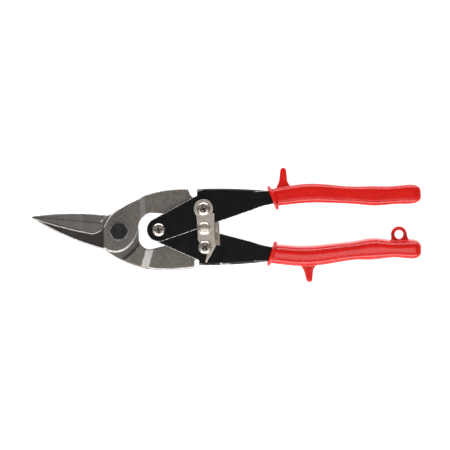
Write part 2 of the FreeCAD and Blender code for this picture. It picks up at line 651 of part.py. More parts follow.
def lock_washer(name, x, y, low, turn):
    """A split ring, open at one side."""
    body = ring(name, x, y, cell["thread"] + cell["play"], cell["lock_radius"], low,
                cell["lock_height"], turn)
    half = cell["lock_slit"] * 0.5
    far = cell["lock_radius"] + 1
    slit = [(0, -half, 0), (far, -half, 0), (far, half, 0), (0, half, 0)]
    pocket(body, polygon(body, slit, lift=low - 1), 4.0, up=True)
    return body


def pivot_bolt():
    body = new_part("pivot_bolt", turn=12)
    hexagon(body, cell["pivot_flats"], -cell["rest_level"], cell["rest_level"] - cell["blade_face"])
    shoulder_top = cell["blade_face"]
    pad(body, circle(body, cell["pivot_shoulder"], lift=-cell["blade_face"]),
        shoulder_top + cell["blade_face"])
    thread = cell["pivot_washer_height"] + cell["pivot_nut_height"] + cell["bolt_end"]
    pad(body, circle(body, cell["pivot_thread"], lift=shoulder_top), thread)
    tip = number(shoulder_top + thread)
    dress(body, "Chamfer", level_edge(tip), Size=0.5)
    return body


def spring_half(name, turn, flip):
    """Half of the return spring: its share of the coil, its leg, and the tip hooked in a flange."""
    body = new_part(name, x=cell["centre_x"], turn=turn, flip=flip)
    wire = cell["wire"] * 0.5
    level = -cell["spring_level"]
    start = circle(body, wire, cell["coil_radius"], level, plane="XZ_Plane")
    coil = feature(body, "Revolution", start, Angle=cell["coil_angle"])
    coil.ReferenceAxis = (start, ["V_Axis"])
    leg = wire * 0.94
    pad(body, circle(body, leg, cell["coil_radius"], level, plane="XZ_Plane"), cell["spring_leg"])
    inner_face = cell["flange_back"] - cell["sheet"]
    hook = circle(body, wire * 0.88, cell["coil_radius"], -cell["spring_leg"] + wire,
                  lift=-inner_face - 0.8)
    pad(body, hook, inner_face + 0.8 - cell["spring_level"])
    return body


def fasteners():
    """Bolt, screws, nuts, washers and bushes at the four pivots."""
    tang_x, tang_y, centre_x = cell["tang_x"], cell["tang_y"], cell["centre_x"]
    pivot_bolt()
    washer_low = cell["blade_face"]
    ring("pivot_washer", 0, 0, cell["pivot_thread"] + cell["play"], cell["pivot_washer_radius"],
         washer_low, cell["pivot_washer_height"])
    hex_nut("pivot_nut", 0, 0, cell["pivot_flats"], washer_low + cell["pivot_washer_height"],
            cell["pivot_nut_height"], cell["pivot_thread"], turn=-2)

    stack = cell["lock_height"] + cell["nut_height"]
    for name, x, y, seat, outer_face, turn, collar in (
            ("upper_screw", tang_x, tang_y, cell["head_seat"], -cell["flange_back"], 22, None),
            ("lower_screw", tang_x, -tang_y, cell["head_seat"], -cell["flange_face"], 40,
             (cell["flange_back"], cell["latch_back"] - cell["play"])),
            ("centre_screw", centre_x, 0, cell["flange_face"], -cell["flange_face"] - cell["play"], 8, None)):
        screw(name, x, y, seat, outer_face, outer_face - stack, turn, collar)
        stem = name.replace("_screw", "")
        lock_washer(stem + "_lock_washer", x, y, outer_face - cell["lock_height"], turn + 60)
        hex_nut(stem + "_nut", x, y, cell["nut_flats"], outer_face - stack, cell["nut_height"],
                cell["thread"], turn + 13)

    bore, outer = cell["shank"] + cell["nut_play"], cell["shank"] + cell["bush_wall"]
    tang_width = cell["tang_face"] + cell["tang_back"]
    ring("upper_bush", tang_x, tang_y, bore, outer, -cell["tang_back"], tang_width)
    ring("lower_bush", tang_x, -tang_y, bore, outer, -cell["tang_face"], tang_width)
    half = cell["flange_back"] - cell["sheet"] - cell["play"] * 2
    ring("centre_bush", centre_x, 0, bore, cell["shank"] + cell["centre_bush_wall"], -half, half * 2)


# ------------------------------------------------------------------ latch

def latch():
    """The locking plate: it turns on the upper screw and its hook catches the lower one."""
    body = new_part("latch")
    plate, tang_x, tang_y = cell["latch_sheet"], cell["tang_x"], cell["tang_y"]
    pad(body, polygon(body, corners("latch"), lift=cell["latch_back"]), plate)
    pad(body, circle(body, cell["latch_eye"], tang_x, tang_y, lift=cell["latch_back"]), plate)
    drill(body, cell["shank"] + cell["play"], tang_x, tang_y)
    # the slot behind the hook, with room for the latch to swing further in
    half = cell["slot_half"]
    mouth, blind = tang_x - cell["latch_eye"] - 1.8, tang_x + cell["slot_blind"]
    slot = [(mouth, -tang_y - half, 0), (tang_x, -tang_y - half, 0), (blind, -tang_y - half, half + 0.1),
            (blind, -tang_y + half, 0), (mouth, -tang_y + half, 0)]
    pocket(body, polygon(body, slot, lift=cell["latch_back"] - 1), 4.0, up=True)
    tab = polygon(body, corners("latch_tab"), plane="XZ_Plane", lift=-cell["tab_high_y"])
    pad(body, tab, cell["tab_high_y"] - cell["tab_low_y"])
    dome = circle(body, cell["dimple_radius"], cell["dimple_x"], cell["dimple_y"],
                  lift=cell["latch_back"] + plate)
    pad(body, dome, cell["dimple_height"])
    rim = number(cell["latch_back"] + plate + cell["dimple_height"])
    dress(body, "Chamfer", lambda edge: level_edge(rim)(edge) and middle(edge).x < 60,
          Size=cell["dimple_height"] - 0.15)
    return body


def check_and_write():
    doc.recompute()
    broken = [item.Name for item in doc.Objects if {"Invalid", "Error"} & set(item.State)]
    broken += [part.Label for part in PARTS if part.Shape.isNull() or not part.Shape.isValid()]
    if broken:
        raise RuntimeError("these objects failed: " + ", ".join(broken))
    os.makedirs("parts", exist_ok=True)
    for part in PARTS:
        part.Shape.exportStep("parts/%s.step" % part.Label)
    box = PARTS[0].Shape.BoundBox
    for part in PARTS[1:]:
        box.add(part.Shape.BoundBox)
    print("%d sub-parts, box %.2f %.2f %.2f to %.2f %.2f %.2f" % (
        len(PARTS), box.XMin, box.YMin, box.ZMin, box.XMax, box.YMax, box.ZMax))


def main():
    front_blade()
    rear_blade()
    for side, name in ((1, "upper"), (-1, "lower")):
        handle(name + "_handle", side)
        grip(name + "_grip", side)
    fasteners()
    spring_half("return_spring_coil", 90, False)
    spring_half("return_spring_leg", -90, True)
    latch()
    check_and_write()


main()
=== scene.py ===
"""Aviation snips: the looks of every piece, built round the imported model.

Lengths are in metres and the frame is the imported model's: X runs to the grips, Y to the upper
handle and Z up from the floor that the tool lies on.
"""

import json
import math

import bmesh
import bpy
import numpy as np
from mathutils import Matrix, Vector

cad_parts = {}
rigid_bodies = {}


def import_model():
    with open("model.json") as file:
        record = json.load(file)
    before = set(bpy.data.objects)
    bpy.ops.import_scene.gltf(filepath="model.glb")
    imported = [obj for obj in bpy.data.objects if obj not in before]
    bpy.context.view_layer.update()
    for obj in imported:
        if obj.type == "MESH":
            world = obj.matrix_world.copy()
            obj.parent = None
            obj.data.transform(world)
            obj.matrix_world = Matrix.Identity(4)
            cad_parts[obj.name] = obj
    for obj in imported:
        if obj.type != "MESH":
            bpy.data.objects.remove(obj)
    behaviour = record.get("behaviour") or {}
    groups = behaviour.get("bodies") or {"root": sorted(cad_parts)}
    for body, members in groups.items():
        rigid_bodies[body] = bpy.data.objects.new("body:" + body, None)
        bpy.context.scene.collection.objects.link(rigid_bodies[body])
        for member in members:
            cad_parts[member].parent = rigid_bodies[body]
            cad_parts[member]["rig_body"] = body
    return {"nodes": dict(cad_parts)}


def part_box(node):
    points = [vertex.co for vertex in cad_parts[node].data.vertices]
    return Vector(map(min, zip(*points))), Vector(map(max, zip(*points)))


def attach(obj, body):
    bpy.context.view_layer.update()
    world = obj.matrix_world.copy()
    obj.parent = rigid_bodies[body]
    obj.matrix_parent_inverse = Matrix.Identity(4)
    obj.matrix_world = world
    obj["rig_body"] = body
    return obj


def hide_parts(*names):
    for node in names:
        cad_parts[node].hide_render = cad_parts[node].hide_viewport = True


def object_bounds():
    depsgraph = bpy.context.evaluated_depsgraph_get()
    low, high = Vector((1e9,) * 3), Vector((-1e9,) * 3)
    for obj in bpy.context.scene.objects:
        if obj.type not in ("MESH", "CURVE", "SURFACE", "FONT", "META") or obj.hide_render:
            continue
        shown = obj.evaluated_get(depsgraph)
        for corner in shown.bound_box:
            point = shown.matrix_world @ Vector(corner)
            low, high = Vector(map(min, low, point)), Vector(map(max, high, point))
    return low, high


bl_info = {
    "name": "Aviation Snips",
    "version": (1, 0, 0),
    "blender": (4, 5, 0),
    "location": "3D View > Sidebar > Snips",
    "description": "Finishes the pieces of a pair of aviation snips and lights them",
    "category": "Object",
}

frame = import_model()
cad_low, cad_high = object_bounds()

MM = 0.001
# the main pivot, at the level of the shear plane
PIVOT = Vector((-68.6, 0.3, 9.6)) * MM

# material slots of a blade
FORGED, GROUND, BRIGHT = 0, 1, 2

# places on the tool, in millimetres from the main pivot at the shear plane
JAW_END = -10.6
RAMP_START, RAMP_END = 10, 24
CROWN_LEVEL = 3.7
ARM_START, ARM_END, ARM_LEVEL = 17, 50, 1
DIMPLE = Vector((54.5, -0.1, 7.05))

# thumb dimple and cross recess, in millimetres
DIMPLE_RADIUS, DIMPLE_HEIGHT = 3.9, 1.55
RECESS_RADIUS, RECESS_RIM, RECESS_DEPTH = 2.2, 0.1, 1.7


# ------------------------------------------------------------------ shader maths

class Field:
    """A number that varies over a surface; an expression on it adds its Math nodes."""

    def __init__(self, look, socket):
        self.look, self.socket = look, socket

    def math(self, operation, *others, clamp=False):
        values = {index: other for index, other in enumerate((self,) + others)}
        return self.look.add("ShaderNodeMath", {"operation": operation, "use_clamp": clamp}, values)

    def __add__(self, other):
        return self.math("ADD", other)

    __radd__ = __add__

    def __mul__(self, other):
        return self.math("MULTIPLY", other)

    __rmul__ = __mul__

    def __sub__(self, other):
        return self.math("SUBTRACT", other)

    def __rsub__(self, other):
        return (self * -1) + other

    def step(self, low, high):
        """0 below low, 1 above high and a smooth rise between; low may be the larger one."""
        return self.look.add("ShaderNodeMapRange", {"interpolation_type": "SMOOTHSTEP"},
                             {"Value": self, "From Min": low, "From Max": high})

    def ramp(self, *stops):
        """A colour for each value, from (value, colour) pairs."""
        return self.look.add("ShaderNodeValToRGB", {"stops": stops}, {"Fac": self})


class Look:
    """One finish: its material and its nodes."""

    def __init__(self, name, **constants):
        self.material = bpy.data.materials.new(name)
        self.material.use_nodes = True
        self.tree = self.material.node_tree
        self.shader = self.tree.nodes["Principled BSDF"]
        for socket, value in constants.items():
            self.shader.inputs[socket.replace("_", " ")].default_value = value
        self.place = self.add("ShaderNodeTexCoord", output="Object")

    def add(self, kind, settings=None, values=None, output=0):
        """A node: its settings first, then the values or links of its sockets."""
        node = self.tree.nodes.new(kind)
        for name, value in (settings or {}).items():
            if name == "stops":
                ramp = node.color_ramp
                while len(ramp.elements) < len(value):
                    ramp.elements.new(1.0)
                for element, (position, colour) in zip(ramp.elements, value):
                    element.position, element.color = position, tuple(colour) + (1.0,)
            else:
                setattr(node, name, value)
        for name, value in (values or {}).items():
            self.join(self.socket(node.inputs, name), value)
        return Field(self, self.socket(node.outputs, output))

    @staticmethod
    def socket(sockets, name):
        """A socket by number, by name or by identifier."""
        if isinstance(name, int):
            return sockets[name]
        named = [item for item in sockets if item.identifier == name]
        named += [item for item in sockets if item.name == name]
        return named[0]

    def join(self, socket, value):
        if isinstance(value, Field):
            self.tree.links.new(value.socket, socket)
        elif isinstance(value, (int, float)) or socket.type == "VECTOR":
            socket.default_value = value
        else:
            socket.default_value = tuple(value) + (1.0,) * (4 - len(value))

    def stretched(self, scale, turn=(0, 0, 0)):
        """Object coordinates in millimetres, turned and then stretched."""
        scale = [1000.0 * item for item in scale]
        return self.add("ShaderNodeMapping", {"vector_type": "POINT"},
                        {"Vector": self.place, "Rotation": turn, "Scale": scale})

    def noise(self, scale, detail=3.0, roughness=0.55, distortion=0.0, stretch=(1, 1, 1),
              turn=(0, 0, 0)):
        """Noise of about the given number of blobs to a millimetre, between 0 and 1."""
        where = self.stretched(stretch, turn)
        return self.add("ShaderNodeTexNoise", None, {
            "Vector": where, "Scale": scale, "Detail": detail, "Roughness": roughness,
            "Distortion": distortion})

    def cells(self, scale, stretch=(1, 1, 1)):
        return self.add("ShaderNodeTexVoronoi", {"feature": "F1"},
                        {"Vector": self.stretched(stretch), "Scale": scale})

    def blend(self, factor, first, second, mode="MIX"):
        """The first colour where the factor is 0 and the second where it is 1."""
        return self.add("ShaderNodeMix", {"data_type": "RGBA", "blend_type": mode},
                        {"Factor_Float": factor, "A_Color": first, "B_Color": second}, "Result_Color")

    def set(self, **fields):
        for name, field in fields.items():
            self.join(self.shader.inputs[name.replace("_", " ")], field)
        return self

    def bump(self, height, distance, strength=1.0):
        """Relief of the given depth in millimetres."""
        self.set(Normal=self.add("ShaderNodeBump", None, {
            "Height": height, "Distance": distance * MM, "Strength": strength}))
        return self


def shade(colour, share):
    """The same colour, lighter or darker."""
    return tuple(min(channel * share, 1.0) for channel in colour[:3])


# ------------------------------------------------------------------ finishes

def forged_steel(name, colour, rough=0.42):
    """Forged and tumbled steel: mottled brown-grey, with fine pits."""
    look = Look(name, Metallic=0.85, IOR=2.2)
    mottle = look.noise(0.55, detail=5.0, distortion=0.6)
    grain = look.noise(7.0, detail=2.0)
    pits = look.cells(2.6).step(0.16, 0.05)
    tone = (mottle * 0.65 + grain * 0.35).ramp(
        (0.3, shade(colour, 0.68)), (0.5, colour), (0.68, shade(colour, 1.35)))
    look.set(Base_Color=look.blend(pits * 0.4, tone, shade(colour, 0.4)),
             Roughness=mottle * 0.2 + grain * 0.1 + (rough - 0.12))
    return look.bump(grain * 0.5 + mottle - pits, 0.03)


def ground_steel(name, colour, along, rough=0.3):
    """Steel from the grinding wheel: fine lines across the direction of the edge."""
    look = Look(name, Metallic=1.0)
    turn = (0, 0, -math.radians(along))
    lines = look.noise(3.2, detail=4.0, roughness=0.7, stretch=(3.0, 0.12, 0.6), turn=turn)
    bands = look.noise(0.5, detail=2.0, stretch=(0.8, 0.1, 0.5), turn=turn)
    tone = (lines * 0.6 + bands * 0.4).ramp(
        (0.3, shade(colour, 0.62)), (0.52, colour), (0.7, shade(colour, 1.3)))
    look.set(Base_Color=tone, Roughness=lines * 0.25 + (rough - 0.1))
    return look.bump(lines, 0.012)


def gloss_black(name, colour):
    """Stoved black paint: fine orange peel, faint dust and rubbed patches."""
    look = Look(name, IOR=1.5, Specular_IOR_Level=0.32)
    peel = look.noise(1.5, detail=2.0)
    rub = look.noise(0.16, detail=5.0, roughness=0.65)
    scratches = look.noise(0.9, detail=5.0, roughness=0.75, stretch=(0.14, 4.0, 1.0),
                           turn=(0, 0, 0.3)).step(0.66, 0.74)
    tone = rub.ramp((0.3, shade(colour, 0.7)), (0.6, colour), (0.75, shade(colour, 1.9)))
    look.set(Base_Color=look.blend(scratches * 0.35, tone, shade(colour, 5.0)),
             Roughness=rub * 0.14 + scratches * 0.2 + 0.12)
    return look.bump(peel - scratches * 0.3, 0.006)


def rubbed_edge(name, colour, bare):
    """The painted edge of a pressed sheet, worn through in places."""
    look = Look(name, Coat_Weight=0.2)
    wear = look.noise(1.1, detail=5.0, roughness=0.7).step(0.36, 0.52)
    look.set(Base_Color=look.blend(wear, colour, bare), Metallic=wear * 0.9,
             Roughness=wear * 0.12 + 0.24)
    return look.bump(wear * -1, 0.01)


def black_oxide(name, colour):
    """Oiled black oxide with greyer mottling and tool marks."""
    look = Look(name, Metallic=0.6)
    mottle = look.noise(1.2, detail=4.0)
    marks = look.noise(2.4, detail=3.0, stretch=(1, 1, 5))
    look.set(Base_Color=mottle.ramp((0.35, shade(colour, 0.7)), (0.65, shade(colour, 1.8))),
             Roughness=mottle * 0.25 + 0.36)
    return look.bump(marks, 0.015)


def nickel(name, colour, rough=0.2):
    """Bright plating with a slight orange peel and fine handling scratches."""
    look = Look(name, Metallic=1.0)
    peel = look.noise(0.9, detail=3.0)
    fine = look.noise(5.0, detail=3.0, roughness=0.7, stretch=(0.3, 2.5, 1.0), turn=(0, 0, 0.5))
    stain = look.noise(0.35, detail=4.0)
    tone = stain.ramp((0.3, shade(colour, 0.8)), (0.5, colour), (0.72, shade(colour, 1.15)))
    look.set(Base_Color=tone, Roughness=fine * 0.16 + peel * 0.1 + (rough - 0.1))
    return look.bump(peel + fine * 0.3, 0.01)


def dipped_vinyl(name, colour):
    """Thick dipped vinyl: glossy, slightly wavy, a little light inside."""
    look = Look(name, IOR=1.45, Coat_Weight=0.1, Coat_Roughness=0.05, Subsurface_Weight=0.1,
                Subsurface_Scale=0.0015)
    wave = look.noise(0.11, detail=2.0)
    skin = look.noise(1.9, detail=3.0)
    smudge = look.noise(0.3, detail=5.0, roughness=0.7)
    look.set(Base_Color=(smudge * 0.5 + wave * 0.5).ramp(
        (0.32, shade(colour, 0.86)), (0.55, colour), (0.7, shade(colour, 1.06))),
        Roughness=smudge * 0.16 + 0.19)
    return look.bump(wave * 6.0 + skin * 0.06, 0.02)


def turned_steel(name, colour, letter="Z", spacing=3.5):
    """Steel with the fine rings that a lathe or a drawing die leaves."""
    look = Look(name, Metallic=1.0)
    rings = look.noise(spacing, detail=2.0,
                       stretch=[6.0 if item == letter else 0.25 for item in "XYZ"])
    stain = look.noise(0.6, detail=3.0)
    look.set(Base_Color=stain.ramp((0.35, shade(colour, 0.7)), (0.65, shade(colour, 1.2))),
             Roughness=rings * 0.2 + 0.2)
    return look.bump(rings, 0.01)


# ------------------------------------------------------------------ pieces

def tool_point(place):
    """A point of a piece in millimetres from the main pivot, at the shear plane."""
    return (place - PIVOT) / MM


def merged_copy(node):
    """A bmesh of a node with its corners joined and its flat faces whole."""
    source = frame["nodes"][node]
    shape = bmesh.new()
    shape.from_mesh(source.data)
    bmesh.ops.remove_doubles(shape, verts=shape.verts, dist=0.03 * MM)
    bmesh.ops.dissolve_degenerate(shape, edges=shape.edges, dist=0.01 * MM)
    bmesh.ops.dissolve_limit(shape, angle_limit=math.radians(0.6), verts=shape.verts,
                             edges=shape.edges, use_dissolve_boundaries=False)
    return shape


def corner_edges(shape, angle=28.0, test=None):
    """The edges where two faces meet more sharply than the angle, if they pass the test."""
    sharp = [edge for edge in shape.edges if len(edge.link_faces) == 2
             and edge.calc_face_angle(0.0) > math.radians(angle)]
    return [edge for edge in sharp if test is None or test(edge)]


def round_off(shape, edges, width, segments=3, slot=0, clamp=True):
    """Bevel the edges, and give the new faces a material slot."""
    if not edges:
        raise RuntimeError("there is no edge to bevel")
    made = bmesh.ops.bevel(shape, geom=edges, offset=width * MM, offset_type="OFFSET",
                           segments=segments, profile=0.5, affect="EDGES", material=-1,
                           clamp_overlap=clamp)
    for face in made["faces"]:
        face.material_index = slot


def cast(source, grain, flow):
    """A mesh as one skin of small even faces, with its corners run round."""
    mould = bpy.data.objects.new("mould", source.copy())
    bpy.context.scene.collection.objects.link(mould)
    remesh = mould.modifiers.new("One skin", "REMESH")
    remesh.mode = "VOXEL"
    remesh.voxel_size = grain
    smooth = mould.modifiers.new("Flow", "SMOOTH")
    smooth.factor = 0.5
    smooth.iterations = flow
    solved = mould.evaluated_get(bpy.context.evaluated_depsgraph_get())
    made = bpy.data.meshes.new_from_object(solved)
    bpy.data.objects.remove(mould)
    shape = bmesh.new()
    shape.from_mesh(made)
    bpy.data.meshes.remove(made)
    if not shape.faces:
        raise RuntimeError("the skin of %s came out empty" % source.name)
    for face in shape.faces:
        face.material_index = 0
        face.smooth = True
    return shape


def grind(shape, edges, width, fall, up, slot):
    """Grind a bevel beside outline edges: this wide, and falling this much for each millimetre.

    A vertex that stands above the slanted face moves square on to it, so no faces fold up.
    """
    if not edges:
        raise RuntimeError("there is no edge to grind")
    places = np.array([vert.co for vert in shape.verts])
    nearest = np.full(len(places), np.inf)
    above = np.zeros(len(places))
    inward = np.zeros((len(places), 2))
    for edge in edges:
        start, end = (np.array(vert.co) for vert in edge.verts)
        out = np.array(side_faces(edge)[1].normal.xy.normalized())
        along = end - start
        flat = places[:, :2] - start[:2]
        share = np.clip(flat @ along[:2] / (along[:2] @ along[:2] + 1e-18), 0, 1)
        gap = np.linalg.norm(flat - share[:, None] * along[:2], axis=1)
        closer = gap < nearest
        nearest[closer] = gap[closer]
        level = (start[2] + share * along[2]) * up - (width + flat @ out) * fall
        above[closer] = (places[:, 2] * up - level)[closer]
        inward[closer] = -out
    ground = (nearest < width) & (above > 0)
    shape.verts.ensure_lookup_table()
    for index in np.nonzero(ground)[0]:
        step = above[index] / (1 + fall * fall)
        shape.verts[index].co += Vector((*inward[index] * step * fall, -step * up))
    shape.normal_update()
    for face in shape.faces:
        if face.normal.z * up > 0.3 and all(ground[vert.index] for vert in face.verts):
            face.material_index = slot


def place_piece(name, shape, looks, node, smooth=38.0, weighted=True):
    """Turn a bmesh into the piece that stands for a node, on that node's body."""
    mesh = bpy.data.meshes.new(name)
    shape.to_mesh(mesh)
    shape.free()
    for look in looks:
        mesh.materials.append(look.material)
    piece = bpy.data.objects.new(name, mesh)
    bpy.context.scene.collection.objects.link(piece)
    mesh.polygons.foreach_set("use_smooth", [True] * len(mesh.polygons))
    mesh.set_sharp_from_angle(angle=math.radians(smooth))
    if weighted:
        modifier = piece.modifiers.new("Even faces", "WEIGHTED_NORMAL")
        modifier.keep_sharp = True
        modifier.weight = 90
    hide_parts(node)
    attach(piece, frame["nodes"][node]["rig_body"])
    return piece


def softened(node, width, looks, segments=3, angle=28.0, edge_slot=0, clamp=True):
    """A copy of a node with its sharp edges rounded."""
    shape = merged_copy(node)
    round_off(shape, corner_edges(shape, angle), width, segments, edge_slot, clamp)
    piece = place_piece(node + "_finished", shape, looks, node)
    return piece


def side_faces(edge):
    """The upper and the standing face of an outline edge, or None for any other edge."""
    faces = sorted(edge.link_faces, key=lambda face: -abs(face.normal.z))
    if abs(faces[0].normal.z) > 0.75 and abs(faces[1].normal.z) < 0.3:
        return faces
    return None


def outline_edge(up, where):
    """A test for the outline edges of the front or the back that lie where the rule says.

    The rule gets the middle of the edge and the outward direction of the standing face.
    """
    def test(edge):
        faces = side_faces(edge)
        if faces is None or faces[0].normal.z * up < 0:
            return False
        middle = tool_point((edge.verts[0].co + edge.verts[1].co) / 2)
        return where(middle, faces[1].normal)
    return test


# ------------------------------------------------------------------ settings

class SnipsSizes(bpy.types.PropertyGroup):
    """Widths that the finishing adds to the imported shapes."""

    belly: bpy.props.FloatProperty(
        name="Belly bevel", description="Ground bevel along the back of the lower jaw",
        default=1.5 * MM, min=0.2 * MM, max=3 * MM, subtype="DISTANCE", unit="LENGTH")
    boss: bpy.props.FloatProperty(
        name="Boss rounding", description="Rounded rim of the pivot boss",
        default=1.2 * MM, min=0.2 * MM, max=2 * MM, subtype="DISTANCE", unit="LENGTH")
    arm: bpy.props.FloatProperty(
        name="Arm bevel", description="Bright bevel along the outside of the lower arm",
        default=1.3 * MM, min=0.2 * MM, max=2 * MM, subtype="DISTANCE", unit="LENGTH")
    keen: bpy.props.FloatProperty(
        name="Cutting edge", description="Bright land behind each cutting edge",
        default=0.4 * MM, min=0.1 * MM, max=1.5 * MM, subtype="DISTANCE", unit="LENGTH")
    sheet: bpy.props.FloatProperty(
        name="Sheet edges", description="Rounding of the pressed and turned pieces",
        default=0.3 * MM, min=0.05 * MM, max=0.6 * MM, subtype="DISTANCE", unit="LENGTH")
    skin: bpy.props.FloatProperty(
        name="Vinyl skin", description="Grain of the mesh that the dipped grips are cast in",
        default=0.5 * MM, min=0.3 * MM, max=1.5 * MM, subtype="DISTANCE", unit="LENGTH")
    swell: bpy.props.FloatProperty(
        name="Vinyl swell", description="How far the dipped vinyl stands out after it has flowed",
        default=0.22 * MM, min=0, max=0.5 * MM, subtype="DISTANCE", unit="LENGTH")
    forging: bpy.props.FloatProperty(
        name="Forging skin", description="Grain of the mesh that the blades are cast in",
        default=0.32 * MM, min=0.2 * MM, max=1 * MM, subtype="DISTANCE", unit="LENGTH")
    latch: bpy.props.FloatProperty(
        name="Latch skin", description="Grain of the mesh that the latch is pressed in",
        default=0.2 * MM, min=0.1 * MM, max=0.6 * MM, subtype="DISTANCE", unit="LENGTH")
    play: bpy.props.FloatProperty(
        name="Latch play", description="How far the latch's skin stays inside the packed latch",
        default=0.05 * MM, min=0, max=0.2 * MM, subtype="DISTANCE", unit="LENGTH")
    flow: bpy.props.IntProperty(
        name="Vinyl flow", description="How far the dipped vinyl flows round corners",
        default=10, min=2, max=60)


class SnipsColours(bpy.types.PropertyGroup):
    """Base colours of the finishes."""

    steel: bpy.props.FloatVectorProperty(
        name="Forged steel", description="Boss, arm and crown of the blades",
        default=(0.165, 0.146, 0.130), size=3, min=0, max=1, subtype="COLOR")
    ground: bpy.props.FloatVectorProperty(
        name="Ground steel", description="Jaw faces and bevels",
        default=(0.27, 0.255, 0.245), size=3, min=0, max=1, subtype="COLOR")
    bright: bpy.props.FloatVectorProperty(
        name="Bright steel", description="Worn chamfers and ramps",
        default=(0.52, 0.50, 0.485), size=3, min=0, max=1, subtype="COLOR")
    paint: bpy.props.FloatVectorProperty(
        name="Paint", description="Gloss paint of the handles",
        default=(0.004, 0.0038, 0.004), size=3, min=0, max=1, subtype="COLOR")
    oxide: bpy.props.FloatVectorProperty(
        name="Black oxide", description="Main bolt, nut and washer",
        default=(0.012, 0.012, 0.013), size=3, min=0, max=1, subtype="COLOR")
    nickel: bpy.props.FloatVectorProperty(
        name="Nickel", description="Screws, nuts, lock washers and latch",
        default=(0.66, 0.60, 0.53), size=3, min=0, max=1, subtype="COLOR")
    vinyl: bpy.props.FloatVectorProperty(
        name="Vinyl", description="Dipped grips",
        default=(0.60, 0.004, 0.001), size=3, min=0, max=1, subtype="COLOR")
    turned: bpy.props.FloatVectorProperty(
        name="Turned steel", description="Bushes and return spring",
        default=(0.50, 0.49, 0.47), size=3, min=0, max=1, subtype="COLOR")
    floor: bpy.props.FloatVectorProperty(
        name="Floor", description="Pale floor below the tool",
        default=(0.60, 0.60, 0.60), size=3, min=0, max=1, subtype="COLOR")


class Finisher(bpy.types.Operator):
    """Base of the operators that finish a group of pieces."""

    bl_options = {"REGISTER", "UNDO"}

    def execute(self, context):
        self.finish(context.scene.snips_sizes, context.scene.snips_colours)
        return {"FINISHED"}


# ------------------------------------------------------------------ the groups of pieces

class SNIPS_OT_blades(Finisher):
    """Grind and round both blades"""

    bl_idname = "snips.blades"
    bl_label = "Blades"

    def finish(self, sizes, colours):
        forged = forged_steel("forged_blade", colours.steel)
        bright = ground_steel("bright_bevel", colours.bright, along=20, rough=0.36)
        # painted shade: the lower jaw gets a copy of the ground finish at 0.4 of its brightness,
        # standing in for the shade on its recessed, slanting face
        jaws = {"front_blade": ground_steel("lower_jaw_shaded", shade(colours.ground, 0.4), along=-17),
                "rear_blade": ground_steel("upper_jaw", colours.ground, along=-17)}
        for node, bevels in (("front_blade", self.front(sizes)), ("rear_blade", self.rear(sizes))):
            outline = merged_copy(node)
            shape = cast(frame["nodes"][node].data, sizes.forging, 2)
            self.mark_ground(shape)
            for up, width, fall, slot, where in bevels:
                edges = corner_edges(outline, 28.0, outline_edge(up, where))
                grind(shape, edges, width, fall, up, slot)
            outline.free()
            bmesh.ops.smooth_vert(shape, verts=shape.verts, factor=0.4, use_axis_x=True,
                                  use_axis_y=True, use_axis_z=True)
            place_piece(node + "_ground", shape, (forged, jaws[node], bright), node,
                                smooth=34.0, weighted=False)

    @staticmethod
    def front(sizes):
        """Side, width, fall, finish and place of the front blade's bevels."""
        return (
            (1, sizes.belly, 0.9, BRIGHT, lambda p, n: p.x < -10 and n.y < -0.4),
            (1, sizes.keen, 0.8, BRIGHT, lambda p, n: p.x < -9 and n.y > 0.3),
            (1, sizes.boss, 0.95, BRIGHT, lambda p, n: -9 < p.x < 12 and p.y < -1),
            (1, sizes.boss * 0.5, 0.8, FORGED, lambda p, n: p.x > 13 and n.y > 0.5),
        )

    @staticmethod
    def rear(sizes):
        """The same for the rear blade, whose back carries the ground jaw face."""
        return (
            (1, sizes.arm, 1.0, BRIGHT,
             lambda p, n: ARM_START < p.x < ARM_END and n.y < -0.4 and p.z > ARM_LEVEL),
            (1, sizes.arm * 0.45, 0.8, FORGED,
             lambda p, n: -10 < p.x < 18 and n.y < -0.4 and p.y < -8),
            (-1, sizes.belly, 0.9, BRIGHT, lambda p, n: p.x < -8 and n.y > 0.4),
            (-1, sizes.boss, 0.7, FORGED, lambda p, n: -8 < p.x < 12 and p.y > 1),
        )

    @staticmethod
    def mark_ground(shape):
        """The jaws get the ground finish, and the ramps the bright one."""
        for face in shape.faces:
            middle = tool_point(face.calc_center_median())
            steep = abs(face.normal.z)
            if middle.x < JAW_END:
                face.material_index = GROUND
            elif RAMP_START < middle.x < RAMP_END and 0.5 < steep < 0.97 and abs(face.normal.x) > 0.2:
                face.material_index = BRIGHT
            elif middle.z > CROWN_LEVEL and 0.45 < steep < 0.92 and middle.y > 3:
                face.material_index = BRIGHT


class SNIPS_OT_handles(Finisher):
    """Paint the two pressed handles"""

    bl_idname = "snips.handles"
    bl_label = "Handles"

    def finish(self, sizes, colours):
        paint = gloss_black("gloss_paint", colours.paint)
        edge = rubbed_edge("rubbed_paint", colours.paint, colours.turned)
        for node in ("upper_handle", "lower_handle"):
            softened(node, sizes.sheet / MM, (paint, edge), edge_slot=1,
                     clamp=False)


class SNIPS_OT_grips(Finisher):
    """Dip both grips in one thick skin of vinyl"""

    bl_idname = "snips.grips"
    bl_label = "Grips"

    def finish(self, sizes, colours):
        vinyl = dipped_vinyl("dipped_vinyl", colours.vinyl)
        for node in ("upper_grip", "lower_grip"):
            shape = cast(frame["nodes"][node].data, sizes.skin, sizes.flow)
            for vert in shape.verts:
                vert.co += vert.normal * sizes.swell
            piece = place_piece(node + "_dipped", shape, (vinyl,), node, smooth=180.0, weighted=False)


